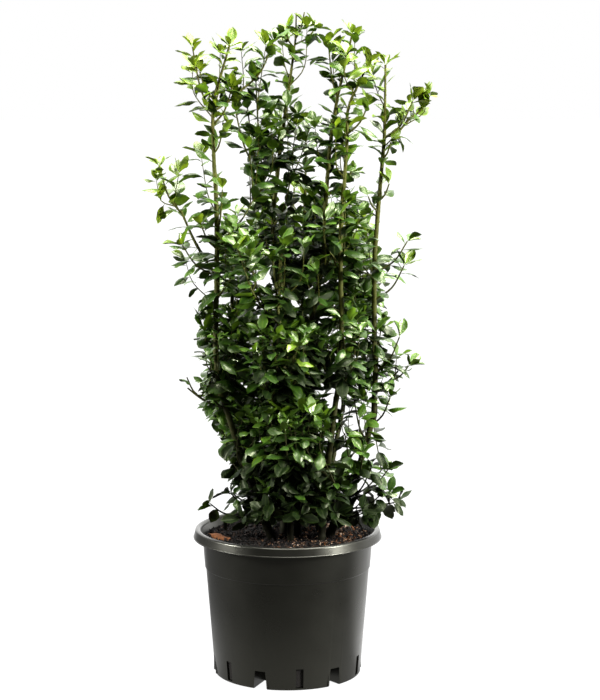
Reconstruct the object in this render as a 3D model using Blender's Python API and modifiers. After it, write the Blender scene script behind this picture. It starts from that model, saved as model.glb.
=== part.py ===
"""Holly shrub with several upright stems, standing in a plastic nursery pot.

Metres, +Z up. The origin is the centre of the pot's flat underside, and the shrub's
front faces -Y. Every stem, bough and mass of foliage is a solid of its own.
"""

import math
from typing import NamedTuple

import bmesh
import bpy
from mathutils import Vector, noise

# Clearances between pieces, and of a limb in the foliage or bark that is cut round it
GAP = 0.0003
LIMB_CLEARANCE = 0.0005
WELD = 0.000001

# Pot: radii are of the outer face, heights are above the floor
POT_HEIGHT = 0.218
POT_FOOT_RADIUS = 0.109
POT_BODY_RADIUS = 0.1216
POT_STEP_HEIGHT = 0.1600
POT_STEP_RISE = 0.0016
POT_COLLAR_FOOT_RADIUS = 0.1231
POT_COLLAR_TOP_RADIUS = 0.1263
POT_WALL = 0.0024
POT_BASE = 0.0030
RIM_RADIUS = 0.1400
RIM_DROP = 0.0140
RIM_INNER_RADIUS = 0.1285
RIM_ROUNDING = 0.0045
RIM_THICKNESS = 0.0030
RIM_TOP_SLOPE = 0.0010
RIM_SHOULDER = 0.0070
RIM_ARC_DEGREES = (180, 135, 90)
COLLAR_TOP = POT_HEIGHT - RIM_DROP
POT_STEPS = 32

# Feet: six drain channels under the base and six narrow slots between them
DRAIN_COUNT = 6
CHANNEL_ANGLE = math.radians(-21.0)
CHANNEL_TOP_WIDTH = 0.0160
CHANNEL_FOOT_WIDTH = 0.0205
CHANNEL_HEIGHT = 0.0270
CHANNEL_LENGTH = 0.0420
SLOT_ANGLE = math.radians(9.5)
SLOT_WIDTH = 0.0110
SLOT_HEIGHT = 0.0320
SLOT_DEPTH = 0.0080
CUT_OVERRUN = 0.020

# Soil: level round the stems and lumpy towards the pot's wall
SOIL_TOP = 0.2050
SOIL_LEVEL_RADIUS = 0.085
SOIL_RINGS = (0.35, 0.70)
SOIL_LUMP = 0.0035
SOIL_LUMP_SIZE = 0.030

# Limbs
STEM_STEP = 0.085
BOUGH_STEP = 0.030
BOUGH_FINE_STEP = 0.003
BOUGH_FEWEST_PIECES = 3
LIMB_RESOLUTION = 1
STEM_TAPER = 0.55
BOUGH_TAPER = 1.0
FOOT_FLARE = 1.35
FOOT_DEPTH = 0.012
BOUGH_SEAT = 0.003
BOUGH_BOW = 0.10

# Foliage
MASS_SEGMENTS = 9
MASS_RINGS = 6
MASS_FULLNESS = 2.4
MASS_UNEVENNESS = 0.26
MASS_LUMPS = 2.1
LOWEST_LEAF = POT_HEIGHT + 0.004


class Stem(NamedTuple):
    """An upright limb: where it leaves the soil, the places it bends through, its tip and its girth."""

    foot: tuple
    bends: tuple
    tip: tuple
    foot_radius: float
    tip_radius: float


class Bough(NamedTuple):
    """A limb that leaves a stem at a height and reaches into a mass of foliage."""

    stem: str
    height: float
    mass: str
    radius: float
    tip_radius: float


class Mass(NamedTuple):
    """A mass of foliage: its middle and its reach to each side, in depth and in height."""

    middle: tuple
    reach: tuple


STEMS = {
    "stem_left": Stem(
        (-0.022, -0.022),
        (
            (-0.062, -0.044, 0.320),
            (-0.100, -0.052, 0.440),
            (-0.102, -0.053, 0.570),
            (-0.100, -0.050, 0.670),
            (-0.106, -0.050, 0.800),
            (-0.105, -0.049, 0.850),
        ),
        (-0.081, -0.046, 0.928),
        0.0052,
        0.0014,
    ),
    "stem_centre": Stem(
        (-0.006, 0.010),
        ((0.003, 0.030, 0.40), (-0.004, 0.040, 0.57), (-0.022, 0.042, 0.655), (-0.009, 0.042, 0.785)),
        (0.014, 0.040, 0.950),
        0.0050,
        0.0014,
    ),
    "stem_back_centre": Stem(
        (0.014, 0.024),
        ((0.020, 0.055, 0.42), (0.024, 0.070, 0.62)),
        (0.028, 0.062, 0.785),
        0.0040,
        0.0013,
    ),
    "stem_inner_right": Stem(
        (0.014, -0.010),
        (
            (0.020, -0.030, 0.42),
            (0.038, -0.035, 0.55),
            (0.053, -0.036, 0.615),
            (0.056, -0.033, 0.72),
            (0.071, -0.030, 0.85),
        ),
        (0.093, -0.030, 0.942),
        0.0050,
        0.0014,
    ),
    "stem_front_right": Stem(
        (0.050, -0.034),
        (
            (0.061, -0.046, 0.34),
            (0.079, -0.054, 0.49),
            (0.076, -0.052, 0.64),
            (0.086, -0.050, 0.79),
            (0.086, -0.050, 0.84),
        ),
        (0.115, -0.048, 0.900),
        0.0048,
        0.0013,
    ),
    "stem_right": Stem(
        (0.060, -0.006),
        (
            (0.096, -0.016, 0.28),
            (0.128, -0.020, 0.39),
            (0.126, -0.020, 0.56),
            (0.131, -0.020, 0.69),
            (0.141, -0.020, 0.80),
        ),
        (0.141, -0.020, 0.900),
        0.0052,
        0.0014,
    ),
    "stem_front": Stem(
        (0.004, -0.036),
        ((0.004, -0.072, 0.34), (-0.004, -0.092, 0.47)),
        (-0.020, -0.094, 0.625),
        0.0038,
        0.0012,
    ),
    "stem_back_left": Stem(
        (-0.030, 0.018),
        ((-0.066, 0.066, 0.37), (-0.086, 0.088, 0.50)),
        (-0.076, 0.088, 0.675),
        0.0042,
        0.0013,
    ),
    "stem_back_right": Stem(
        (0.046, 0.022),
        ((0.080, 0.064, 0.37), (0.100, 0.086, 0.50)),
        (0.098, 0.086, 0.670),
        0.0042,
        0.0013,
    ),
    "stem_rear": Stem(
        (0.002, 0.040),
        ((0.002, 0.092, 0.39), (0.002, 0.120, 0.54)),
        (0.010, 0.114, 0.715),
        0.0042,
        0.0013,
    ),
}

MASSES = {
    "foliage_left_top": Mass((-0.111, -0.050, 0.888), (0.042, 0.042, 0.068)),
    "foliage_left_upper": Mass((-0.104, -0.050, 0.750), (0.041, 0.044, 0.086)),
    "foliage_left_outer": Mass((-0.167, -0.042, 0.730), (0.033, 0.036, 0.046)),
    "foliage_left_shoulder": Mass((-0.109, -0.045, 0.612), (0.046, 0.056, 0.074)),
    "foliage_left_middle": Mass((-0.096, -0.040, 0.495), (0.052, 0.060, 0.078)),
    "foliage_left_low": Mass((-0.077, -0.034, 0.386), (0.046, 0.056, 0.078)),
    "foliage_left_spur": Mass((-0.156, -0.040, 0.444), (0.021, 0.020, 0.019)),
    "foliage_left_foot": Mass((-0.099, -0.030, 0.258), (0.039, 0.038, 0.038)),
    "foliage_inner_left_top": Mass((-0.044, -0.026, 0.892), (0.032, 0.038, 0.066)),
    "foliage_inner_left_upper": Mass((-0.046, -0.004, 0.772), (0.038, 0.050, 0.078)),
    "foliage_centre_top": Mass((0.013, 0.040, 0.918), (0.040, 0.040, 0.062)),
    "foliage_centre_upper": Mass((0.002, 0.044, 0.795), (0.042, 0.048, 0.078)),
    "foliage_centre_shoulder": Mass((-0.006, 0.030, 0.672), (0.060, 0.066, 0.084)),
    "foliage_inner_right_top": Mass((0.084, -0.034, 0.896), (0.042, 0.044, 0.062)),
    "foliage_inner_right_upper": Mass((0.072, -0.034, 0.790), (0.043, 0.048, 0.072)),
    "foliage_inner_right_shoulder": Mass((0.064, -0.036, 0.675), (0.050, 0.058, 0.076)),
    "foliage_right_top": Mass((0.144, -0.020, 0.872), (0.031, 0.036, 0.048)),
    "foliage_right_tip": Mass((0.186, -0.020, 0.842), (0.020, 0.030, 0.032)),
    "foliage_right_upper": Mass((0.140, -0.020, 0.762), (0.031, 0.036, 0.074)),
    "foliage_right_shoulder": Mass((0.134, -0.016, 0.630), (0.043, 0.054, 0.078)),
    "foliage_right_middle": Mass((0.130, -0.014, 0.508), (0.038, 0.056, 0.076)),
    "foliage_right_spur": Mass((0.174, -0.024, 0.474), (0.021, 0.024, 0.026)),
    "foliage_right_low": Mass((0.112, -0.018, 0.386), (0.047, 0.054, 0.074)),
    "foliage_right_foot": Mass((0.130, -0.018, 0.278), (0.044, 0.046, 0.050)),
    "foliage_front_upper": Mass((-0.016, -0.076, 0.612), (0.066, 0.058, 0.080)),
    "foliage_front_middle": Mass((-0.006, -0.086, 0.494), (0.072, 0.062, 0.078)),
    "foliage_front_right": Mass((0.080, -0.070, 0.500), (0.034, 0.040, 0.110)),
    "foliage_front_low": Mass((0.006, -0.080, 0.380), (0.076, 0.062, 0.072)),
    "foliage_front_foot": Mass((0.012, -0.050, 0.272), (0.090, 0.062, 0.062)),
    "foliage_back_left_upper": Mass((-0.078, 0.088, 0.605), (0.058, 0.058, 0.096)),
    "foliage_back_left_low": Mass((-0.080, 0.082, 0.425), (0.064, 0.064, 0.104)),
    "foliage_back_right_upper": Mass((0.098, 0.086, 0.600), (0.060, 0.058, 0.094)),
    "foliage_back_right_low": Mass((0.092, 0.080, 0.424), (0.064, 0.064, 0.104)),
    "foliage_rear_upper": Mass((0.008, 0.118, 0.645), (0.058, 0.050, 0.100)),
    "foliage_rear_low": Mass((0.004, 0.118, 0.436), (0.062, 0.056, 0.112)),
    "foliage_back_foot": Mass((0.010, 0.056, 0.285), (0.092, 0.062, 0.066)),
}

BOUGHS = {
    "bough_left_outer": Bough("stem_left", 0.600, "foliage_left_outer", 0.0026, 0.0016),
    "bough_left_spur": Bough("stem_left", 0.405, "foliage_left_spur", 0.0018, 0.0012),
    "bough_left_foot": Bough("stem_left", 0.232, "foliage_left_foot", 0.0020, 0.0014),
    "bough_inner_left_top": Bough("stem_left", 0.835, "foliage_inner_left_top", 0.0022, 0.0015),
    "bough_inner_left_upper": Bough("stem_centre", 0.700, "foliage_inner_left_upper", 0.0024, 0.0016),
    "bough_right_tip": Bough("stem_right", 0.785, "foliage_right_tip", 0.0020, 0.0014),
    "bough_right_spur": Bough("stem_right", 0.425, "foliage_right_spur", 0.0020, 0.0014),
    "bough_right_foot": Bough("stem_right", 0.240, "foliage_right_foot", 0.0020, 0.0014),
}


def clear_scene():
    for old in list(bpy.data.objects):
        bpy.data.objects.remove(old, do_unlink=True)


def new_collection(name):
    made = bpy.data.collections.new(name)
    bpy.context.scene.collection.children.link(made)
    return made


def new_material(name, colour, roughness):
    made = bpy.data.materials.new(name)
    made.use_nodes = True
    surface = made.node_tree.nodes["Principled BSDF"]
    surface.inputs["Base Color"].default_value = (*colour, 1.0)
    surface.inputs["Roughness"].default_value = roughness
    surface.inputs["Metallic"].default_value = 0.0
    return made


def place(obj, collection, material=None):
    """Puts an object in one collection, with one material."""
    for old in list(obj.users_collection):
        old.objects.unlink(obj)
    collection.objects.link(obj)
    if material:
        obj.data.materials.append(material)
    return obj


def object_from(mesh, name, collection, material=None):
    return place(bpy.data.objects.new(name, mesh), collection, material)


def evaluated_mesh(obj):
    """An object's shape as a mesh: modifiers applied, caps welded and every face a triangle."""
    graph = bpy.context.evaluated_depsgraph_get()
    graph.update()
    mesh = bpy.data.meshes.new_from_object(obj.evaluated_get(graph))
    shape = bmesh.new()
    shape.from_mesh(mesh)
    bmesh.ops.remove_doubles(shape, verts=shape.verts, dist=WELD)
    bmesh.ops.triangulate(shape, faces=shape.faces)
    shape.to_mesh(mesh)
    shape.free()
    return mesh


def as_cutter(obj):
    obj.hide_render = True
    obj.display_type = "WIRE"
    return obj


def cut(obj, cutter, operation="DIFFERENCE"):
    step = obj.modifiers.new(f"{operation.lower()}_{cutter.name}", "BOOLEAN")
    step.operation = operation
    step.solver = "EXACT"
    step.object = cutter


def boxes_meet(first, second, margin):
    """Whether two objects' boxes come within a margin of each other."""
    corners = [[obj.matrix_world @ vertex.co for vertex in obj.data.vertices] for obj in (first, second)]
    for axis in range(3):
        lows = [min(point[axis] for point in points) for points in corners]
        highs = [max(point[axis] for point in points) for points in corners]
        if max(lows) > min(highs) + margin:
            return False
    return True


def largest_piece(mesh):
    """Drops the crumbs that a cut leaves beside the main body."""
    shape = bmesh.new()
    shape.from_mesh(mesh)
    left = set(shape.verts)
    pieces = []
    while left:
        piece = set()
        front = [left.pop()]
        while front:
            vertex = front.pop()
            piece.add(vertex)
            for edge in vertex.link_edges:
                other = edge.other_vert(vertex)
                if other in left:
                    left.remove(other)
                    front.append(other)
        pieces.append(piece)
    pieces.sort(key=len)
    crumbs = [vertex for piece in pieces[:-1] for vertex in piece]
    bmesh.ops.delete(shape, geom=crumbs, context="VERTS")
    shape.to_mesh(mesh)
    shape.free()


def apply_cuts(obj):
    """Makes the cuts final and keeps the one body that remains."""
    if not obj.modifiers:
        return
    mesh = evaluated_mesh(obj)
    largest_piece(mesh)
    obj.modifiers.clear()
    obj.data = mesh


def turned(name, profile, steps, collection, material):
    """A solid turned round the Z axis from (radius, height) points that run down its outer side."""
    mesh = bpy.data.meshes.new(name)
    points = [(radius, 0.0, height) for radius, height in profile]
    mesh.from_pydata(points, [(i, i + 1) for i in range(len(points) - 1)], [])
    obj = object_from(mesh, name, collection, material)
    screw = obj.modifiers.new("turn", "SCREW")
    screw.steps = steps
    screw.render_steps = steps
    screw.use_merge_vertices = True
    screw.merge_threshold = WELD
    return obj


def wall_radius(height):
    """The pot's outer radius at a height, below its rim."""
    if height <= POT_STEP_HEIGHT:
        share = height / POT_STEP_HEIGHT
        return POT_FOOT_RADIUS + share * (POT_BODY_RADIUS - POT_FOOT_RADIUS)
    share = (height - POT_STEP_HEIGHT) / (COLLAR_TOP - POT_STEP_HEIGHT)
    return POT_COLLAR_FOOT_RADIUS + share * (POT_COLLAR_TOP_RADIUS - POT_COLLAR_FOOT_RADIUS)


def rim_arc():
    """The rim's rounded top, from its inner edge over to its outer edge."""
    middle = RIM_INNER_RADIUS + RIM_ROUNDING
    height = POT_HEIGHT - RIM_ROUNDING
    angles = [math.radians(degrees) for degrees in RIM_ARC_DEGREES]
    return [(middle + RIM_ROUNDING * math.cos(a), height + RIM_ROUNDING * math.sin(a)) for a in angles]


def pot_profile():
    """(radius, height) points up the inside, over the rim, down the outside and across the underside."""
    step_top = POT_STEP_HEIGHT + POT_STEP_RISE
    inside = [(0.0, POT_BASE)]
    for height in (POT_BASE, POT_STEP_HEIGHT, step_top, COLLAR_TOP):
        inside.append((wall_radius(height) - POT_WALL, height))
    under_rim = POT_HEIGHT - 2 * RIM_THICKNESS
    outside = [
        (RIM_RADIUS - RIM_THICKNESS, POT_HEIGHT - RIM_TOP_SLOPE),
        (RIM_RADIUS - GAP, POT_HEIGHT - RIM_SHOULDER),
        (RIM_RADIUS, COLLAR_TOP),
        (RIM_RADIUS - RIM_THICKNESS, COLLAR_TOP),
        (RIM_RADIUS - RIM_THICKNESS, under_rim),
        (RIM_INNER_RADIUS + RIM_THICKNESS, under_rim),
        (POT_COLLAR_TOP_RADIUS, COLLAR_TOP),
        (POT_COLLAR_FOOT_RADIUS, step_top),
        (POT_BODY_RADIUS, POT_STEP_HEIGHT),
        (POT_FOOT_RADIUS, 0.0),
        (0.0, 0.0),
    ]
    return inside + rim_arc() + outside


def radial_block(name, angle, reach, widths, heights, collection):
    """A block along a radius of the pot. Each pair goes from inner to outer, or from foot to top."""
    bpy.ops.mesh.primitive_cube_add(size=1.0)
    obj = bpy.context.object
    obj.name = name
    for vertex in obj.data.vertices:
        raised = int(vertex.co.z > 0)
        outward = int(vertex.co.y < 0)
        vertex.co = (vertex.co.x * widths[raised], -reach[outward], heights[raised])
    obj.rotation_euler.z = angle
    bpy.context.view_layer.update()
    return as_cutter(place(obj, collection))


def drain_angles(first):
    return [first + 2 * math.pi * i / DRAIN_COUNT for i in range(DRAIN_COUNT)]


def channel(name, angle, wall, collection):
    """A drain channel's block, thicker all round by a wall. With no wall it runs out through the pot."""
    slope = (CHANNEL_FOOT_WIDTH - CHANNEL_TOP_WIDTH) / CHANNEL_HEIGHT
    inner = POT_FOOT_RADIUS - CHANNEL_LENGTH - wall
    top = CHANNEL_HEIGHT + wall
    if wall:
        outer = wall_radius(CHANNEL_HEIGHT) - POT_WALL / 2
        foot = POT_BASE / 2
    else:
        outer = POT_FOOT_RADIUS + CUT_OVERRUN
        foot = -CUT_OVERRUN
    widths = [CHANNEL_FOOT_WIDTH - slope * height + 2 * wall for height in (foot, top)]
    return radial_block(name, angle, (inner, outer), widths, (foot, top), collection)


def slot(name, angle, collection):
    reach = (POT_FOOT_RADIUS - SLOT_DEPTH, POT_FOOT_RADIUS + CUT_OVERRUN)
    return radial_block(name, angle, reach, (SLOT_WIDTH, SLOT_WIDTH), (POT_BASE, SLOT_HEIGHT), collection)


def make_pot(parts, cutters, plastic):
    pot = turned("pot", pot_profile(), POT_STEPS, parts, plastic)
    channels = list(enumerate(drain_angles(CHANNEL_ANGLE)))
    for i, angle in channels:
        cut(pot, channel(f"channel_cover_{i}", angle, POT_WALL, cutters), "UNION")
    for i, angle in channels:
        cut(pot, channel(f"channel_{i}", angle, 0.0, cutters))
    for i, angle in enumerate(drain_angles(SLOT_ANGLE)):
        cut(pot, slot(f"slot_{i}", angle, cutters))
    return pot


def soil_profile():
    """The inside of the pot, smaller by the gap, below a level top with rings left for its lumps."""
    edge = wall_radius(SOIL_TOP) - POT_WALL - 2 * GAP
    top = [(0.0, SOIL_TOP), (SOIL_LEVEL_RADIUS, SOIL_TOP)]
    for share in SOIL_RINGS:
        top.append((SOIL_LEVEL_RADIUS + share * (edge - SOIL_LEVEL_RADIUS), SOIL_TOP))
    side = [
        (edge, SOIL_TOP),
        (POT_BODY_RADIUS - POT_WALL - GAP, POT_STEP_HEIGHT),
        (wall_radius(POT_BASE) - POT_WALL - GAP, POT_BASE + GAP),
        (0.0, POT_BASE + GAP),
    ]
    return top + side


def make_soil(parts, cutters, earth):
    """The potting mix fills the pot and is cut back over the drain channels."""
    soil = turned("soil", soil_profile(), POT_STEPS, parts, earth)
    mesh = evaluated_mesh(soil)
    soil.modifiers.clear()
    soil.data = mesh
    for vertex in mesh.vertices:
        radius = math.hypot(vertex.co.x, vertex.co.y)
        on_top = vertex.co.z > SOIL_TOP - GAP
        if on_top and SOIL_LEVEL_RADIUS + GAP < radius < wall_radius(SOIL_TOP) - POT_WALL - 3 * GAP:
            vertex.co.z += SOIL_LUMP * noise.noise(vertex.co / SOIL_LUMP_SIZE)
    for i, angle in enumerate(drain_angles(CHANNEL_ANGLE)):
        cut(soil, channel(f"soil_relief_{i}", angle, POT_WALL + GAP, cutters))
    return soil


def smooth_path(points, step):
    """Points about a step apart along a Catmull-Rom curve through the given points."""
    points = [Vector(point) for point in points]
    before = [2 * points[0] - points[1]] + points
    after = points + [2 * points[-1] - points[-2]]
    path = []
    for i in range(len(points) - 1):
        a, b, c, d = before[i], points[i], points[i + 1], after[i + 2]
        pieces = max(1, round((c - b).length / step))
        for j in range(pieces):
            t = j / pieces
            linear = t * (c - a)
            square = t * t * (2 * a - 5 * b + 4 * c - d)
            cube = t * t * t * (3 * b - 3 * c + d - a)
            path.append(b + 0.5 * (linear + square + cube))
    return path + [points[-1]]


def limb(name, path, radii, collection, material=None):
    """A round limb along a path, with a radius at each point, as a closed mesh."""
    curve = bpy.data.curves.new(name, "CURVE")
    curve.dimensions = "3D"
    curve.bevel_depth = 1.0
    curve.bevel_resolution = LIMB_RESOLUTION
    curve.use_fill_caps = True
    spline = curve.splines.new("POLY")
    spline.points.add(len(path) - 1)
    for point, centre, radius in zip(spline.points, path, radii):
        point.co = (*centre, 1.0)
        point.radius = radius
    guide = bpy.data.objects.new(name, curve)
    collection.objects.link(guide)
    mesh = evaluated_mesh(guide)
    bpy.data.objects.remove(guide, do_unlink=True)
    mesh.shade_smooth()
    return object_from(mesh, name, collection, material)


def limb_cutter(name, path, radii, collection):
    """What a limb takes out of the bark or foliage round it."""
    wider = [radius + LIMB_CLEARANCE for radius in radii]
    return as_cutter(limb(f"round_{name}", path, wider, collection))


def tapered(path, first, last, taper):
    """A radius for each point of a path: it falls evenly at a taper of 1, and mostly near the tip below that."""
    lengths = [0.0]
    for a, b in zip(path, path[1:]):
        lengths.append(lengths[-1] + (b - a).length)
    return [last + (first - last) * (1 - length / lengths[-1]) ** taper for length in lengths]


def stem_path(stem):
    """The stem's centre line. It starts below the soil's top, where the foot is then cut off flat."""
    foot = (*stem.foot, SOIL_TOP)
    path = smooth_path((foot, *stem.bends, stem.tip), STEM_STEP)
    return [path[0] - FOOT_DEPTH * (path[1] - path[0]).normalized()] + path[1:]


def stem_radii(stem, path):
    radii = tapered(path, stem.foot_radius, stem.tip_radius, STEM_TAPER)
    return [radii[0] * FOOT_FLARE] + radii[1:]


def ground_block(collection):
    """Everything below the flat cut at the stems' feet."""
    bpy.ops.mesh.primitive_cube_add(size=1.0)
    block = bpy.context.object
    block.name = "ground"
    for vertex in block.data.vertices:
        vertex.co *= 2 * SOIL_LEVEL_RADIUS
        vertex.co.z += SOIL_TOP + GAP - SOIL_LEVEL_RADIUS
    return as_cutter(place(block, collection))


def at_height(path, height):
    """The place where a path passes a height."""
    for a, b in zip(path, path[1:]):
        if a.z <= height <= b.z:
            return a.lerp(b, (height - a.z) / (b.z - a.z))
    return path[-1]


def half_size(mass, direction):
    """How far an even mass would reach from its middle in a direction: an egg, filled out to the corners."""
    scaled = [abs(direction[i]) / mass.reach[i] for i in range(3)]
    return sum(value**MASS_FULLNESS for value in scaled) ** (-1 / MASS_FULLNESS)


def parting_planes(name):
    """Where a mass stops against each neighbour: (direction, distance) from its own middle."""
    mass = MASSES[name]
    middle = Vector(mass.middle)
    planes = [(Vector((0, 0, -1)), middle.z - LOWEST_LEAF)]
    for other_name, other in MASSES.items():
        if other_name == name:
            continue
        way = Vector(other.middle) - middle
        direction = way.normalized()
        own = half_size(mass, direction)
        theirs = half_size(other, direction)
        if (own + theirs) * (1 + MASS_UNEVENNESS) > way.length:
            planes.append((direction, way.length * own / (own + theirs) - GAP / 2))
    return planes


def mass_reach(mass, direction, planes, seed):
    """How far the uneven mass reaches in a direction, stopping at its neighbours."""
    lump = noise.noise(MASS_LUMPS * direction + Vector((seed, 0.0, 0.0)))
    reach = half_size(mass, direction) * (1 + MASS_UNEVENNESS * lump)
    for facing, distance in planes:
        towards = facing.dot(direction)
        if towards > 0:
            reach = min(reach, distance / towards)
    return reach


def make_mass(name, seed, collection, material):
    mass = MASSES[name]
    planes = parting_planes(name)
    shape = bmesh.new()
    bmesh.ops.create_uvsphere(shape, u_segments=MASS_SEGMENTS, v_segments=MASS_RINGS, radius=1.0)
    for vertex in shape.verts:
        direction = vertex.co.normalized()
        vertex.co = Vector(mass.middle) + direction * mass_reach(mass, direction, planes, seed)
    bmesh.ops.triangulate(shape, faces=shape.faces)
    mesh = bpy.data.meshes.new(name)
    shape.to_mesh(mesh)
    shape.free()
    return object_from(mesh, name, collection, material)


def inside(solid, middle, point):
    """Whether a point lies in a solid whose whole surface shows from its middle."""
    way = point - middle
    hit, surface, _, _ = solid.ray_cast(middle, way.normalized())
    return hit and (surface - middle).length > way.length


def bough_path(bough, stem_route, solid):
    """From the stem's core up in a shallow bow, stopping just inside the mass's surface."""
    start = at_height(stem_route, bough.height)
    middle = Vector(MASSES[bough.mass].middle)
    bow = Vector((0.0, 0.0, -BOUGH_BOW * (middle - start).length))
    fine = smooth_path((start, start.lerp(middle, 0.5) + bow, middle), BOUGH_FINE_STEP)
    entered = next(i for i, point in enumerate(fine) if inside(solid, middle, point))
    end = fine[entered] + (fine[entered] - fine[entered - 1]).normalized() * BOUGH_SEAT
    pieces = max(BOUGH_FEWEST_PIECES, round((end - start).length / BOUGH_STEP))
    return [fine[round(i * entered / pieces)] for i in range(pieces)] + [end]


def make_stems(parts, cutters, bark):
    """Makes the stems, and gives back their centre lines and what each cuts from its neighbours."""
    routes = {name: stem_path(stem) for name, stem in STEMS.items()}
    ground = ground_block(cutters)
    rounds = {}
    for name, stem in STEMS.items():
        radii = stem_radii(stem, routes[name])
        cut(limb(name, routes[name], radii, parts, bark), ground)
        rounds[name] = limb_cutter(name, routes[name], radii, cutters)
    return routes, rounds


def make_boughs(routes, rounds, masses, parts, cutters, bark):
    """Makes the boughs, each cut to fit its stem, and adds what they cut from the foliage to rounds."""
    for name, bough in BOUGHS.items():
        path = bough_path(bough, routes[bough.stem], masses[bough.mass])
        radii = tapered(path, bough.radius, bough.tip_radius, BOUGH_TAPER)
        made = limb(name, path, radii, parts, bark)
        cut(made, rounds[bough.stem])
        apply_cuts(made)
        path[-1] += (path[-1] - path[-2]).normalized() * LIMB_CLEARANCE
        rounds[name] = limb_cutter(name, path, radii, cutters)


def main():
    clear_scene()
    parts = new_collection("holly_shrub")
    cutters = new_collection("cutters")
    plastic = new_material("charcoal_plastic", (0.022, 0.022, 0.020), 0.42)
    earth = new_material("potting_mix", (0.060, 0.032, 0.018), 0.95)
    bark = new_material("olive_bark", (0.110, 0.115, 0.040), 0.65)
    leaf = new_material("holly_leaf", (0.045, 0.120, 0.022), 0.40)

    make_pot(parts, cutters, plastic)
    make_soil(parts, cutters, earth)
    routes, rounds = make_stems(parts, cutters, bark)
    masses = {name: make_mass(name, seed, parts, leaf) for seed, name in enumerate(MASSES)}
    bpy.context.view_layer.update()
    make_boughs(routes, rounds, masses, parts, cutters, bark)
    for solid in masses.values():
        for cutter in rounds.values():
            if boxes_meet(solid, cutter, GAP):
                cut(solid, cutter)
        apply_cuts(solid)


main()
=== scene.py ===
"""Looks of a potted holly shrub: bark and leaves grown on its stems, the pot, its soil and a studio.

Metres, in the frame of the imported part: +Z up, the front faces -Y, the pot stands on z = 0.
"""

import math
import random

import bmesh
import bpy
import numpy as np
from mathutils import Matrix, Vector, noise
from mathutils.bvhtree import BVHTree

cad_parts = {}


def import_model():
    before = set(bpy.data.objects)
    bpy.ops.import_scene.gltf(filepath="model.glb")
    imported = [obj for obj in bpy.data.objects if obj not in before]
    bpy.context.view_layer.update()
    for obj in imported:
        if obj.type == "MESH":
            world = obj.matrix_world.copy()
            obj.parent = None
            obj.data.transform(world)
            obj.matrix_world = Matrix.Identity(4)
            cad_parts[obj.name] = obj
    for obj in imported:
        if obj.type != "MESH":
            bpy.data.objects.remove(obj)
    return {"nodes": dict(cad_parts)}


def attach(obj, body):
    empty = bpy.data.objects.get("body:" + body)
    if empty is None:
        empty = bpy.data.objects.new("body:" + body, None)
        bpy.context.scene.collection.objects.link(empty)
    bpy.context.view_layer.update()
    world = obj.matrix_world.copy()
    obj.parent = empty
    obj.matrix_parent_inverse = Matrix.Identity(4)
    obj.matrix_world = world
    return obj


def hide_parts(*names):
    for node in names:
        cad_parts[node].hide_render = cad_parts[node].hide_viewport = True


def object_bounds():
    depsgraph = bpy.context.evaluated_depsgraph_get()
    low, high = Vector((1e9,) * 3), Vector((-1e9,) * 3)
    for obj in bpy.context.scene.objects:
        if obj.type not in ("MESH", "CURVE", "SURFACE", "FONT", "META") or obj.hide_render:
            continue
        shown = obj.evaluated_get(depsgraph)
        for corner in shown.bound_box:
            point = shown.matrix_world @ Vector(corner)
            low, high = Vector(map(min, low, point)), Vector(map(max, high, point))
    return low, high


SEED = 7
MOST_TRIANGLES = 180000

# Camera of the photograph
CAMERA_PLACE = (0.0186, -3.0, 0.902)
CAMERA_PITCH = math.radians(90 - 7.93)
CAMERA_LENS = 123.48

# Studio: soft lobes of the surround (direction, cosines where it starts and is full, strength)
AMBIENT = 0.004
SKY_LOBES = (
    ((0.446, 0.895, 0.10), 0.45, 0.75, 0.95),
    ((0.9, 0.45, 0.30), 0.80, 0.97, 1.00),
    ((-1.0, 0.35, 0.30), 0.85, 0.98, 0.60),
    ((0.2, 0.1, 1.0), 0.72, 0.97, 1.00),
    ((0.05, 0.85, 0.53), 0.60, 0.95, 1.50),
    ((0.15, -0.60, 0.79), 0.70, 0.95, 0.50),
)
# The floor as the object sees it: bright behind and at the sides, and a little just round the foot
FLOOR_LOBES = (
    ((0.446, 0.895, 0.0), 0.34, 0.78, 0.95),
    ((-1.0, 0.30, 0.0), 0.80, 1.00, 0.12),
)
FLOOR_NEAR = 0.48
FLOOR_NEAR_REACH = 0.46
FLOOR_FAR = 0.006
FLOOR_GLOW = 0.98
# Lamps: place, aim, size and power
LAMPS = {
    "top": ((0.35, -0.05, 2.70), (0.0, 0.0, 0.6), 2.0, 375.0),
    "right": ((2.1, -1.1, 1.2), (0.0, 0.0, 0.45), 0.6, 215.0),
    "left": ((-2.2, -0.5, 1.2), (0.0, 0.0, 0.45), 0.6, 135.0),
}

# Pot: radii are of the outer face
POT_HEIGHT = 0.218
POT_FOOT_RADIUS = 0.109
POT_BODY_RADIUS = 0.1216
POT_STEP_HEIGHT = 0.160
POT_COLLAR_FOOT_RADIUS = 0.1231
POT_COLLAR_TOP_RADIUS = 0.1263
POT_WALL = 0.0024
POT_BASE = 0.003
RIM_RADIUS = 0.140
RIM_DROP = 0.014
RIM_INNER_RADIUS = 0.1285
RIM_ROUNDING = 0.0045
BAND_RADIUS = 0.1372
LIP_ROUNDING = 0.0030
BEAD_ROUNDING = 0.0010
STEP_ROUNDING = 0.0013
CORNER_HOLD = 0.0008
COLLAR_TOP = POT_HEIGHT - RIM_DROP
POT_STEPS = 160
POT_COLOUR = (0.0014, 0.0014, 0.0010)
POT_SHEEN = (1.0, 0.985, 0.82, 1.0)
POT_ROUGHNESS = (0.27, 0.35)
POT_WEAR_SCALE = 22.0
DRAIN_COUNT = 6
CHANNEL_ANGLE = math.radians(-21.0)
CHANNEL_WIDTHS = (0.0205, 0.0160)
CHANNEL_HEIGHT = 0.027
CHANNEL_LENGTH = 0.042
SLOT_ANGLE = math.radians(9.5)
SLOT_WIDTH = 0.011
SLOT_HEIGHT = 0.032
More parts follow.
